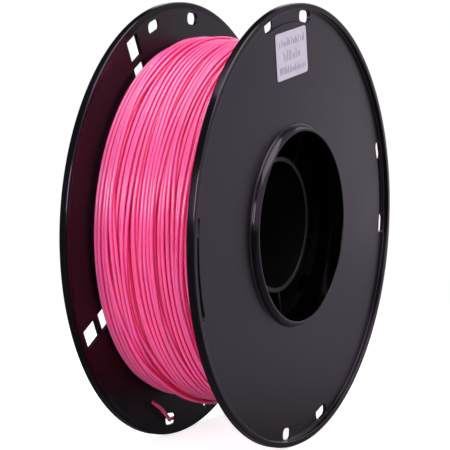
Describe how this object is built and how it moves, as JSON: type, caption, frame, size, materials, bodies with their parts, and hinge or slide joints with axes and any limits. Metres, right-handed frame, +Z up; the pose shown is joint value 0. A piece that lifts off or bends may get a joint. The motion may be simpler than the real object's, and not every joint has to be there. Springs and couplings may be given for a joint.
{
  "type": "filament spool",
  "caption": "Two-flange snap-together plastic spool wound with pink printer filament, its free end parked in holes of the rear flange.",
  "frame": {"origin": "middle of the spool, on its axis and halfway between the two flanges", "axes": "+Y along the spool's axis from the labelled front flange to the rear flange, +Z up as the spool stands on its rims"},
  "size_m": [0.1998, 0.068, 0.1998],
  "materials": {
    "flange_plastic": "black moulded polystyrene, satin faces and a glossier collar",
    "core_plastic": "black moulded polystyrene, satin",
    "filament": "pink flexible filament, smooth and softly glossy",
    "label_paper": "pale satin paper sticker with plain printed marks"
  },
  "bodies": {
    "root": {"front_flange": "flange_plastic", "rear_flange": "flange_plastic", "core": "core_plastic", "filament_winding": "filament", "filament_tail": "filament", "label": "label_paper"}
  },
  "joints": []
}
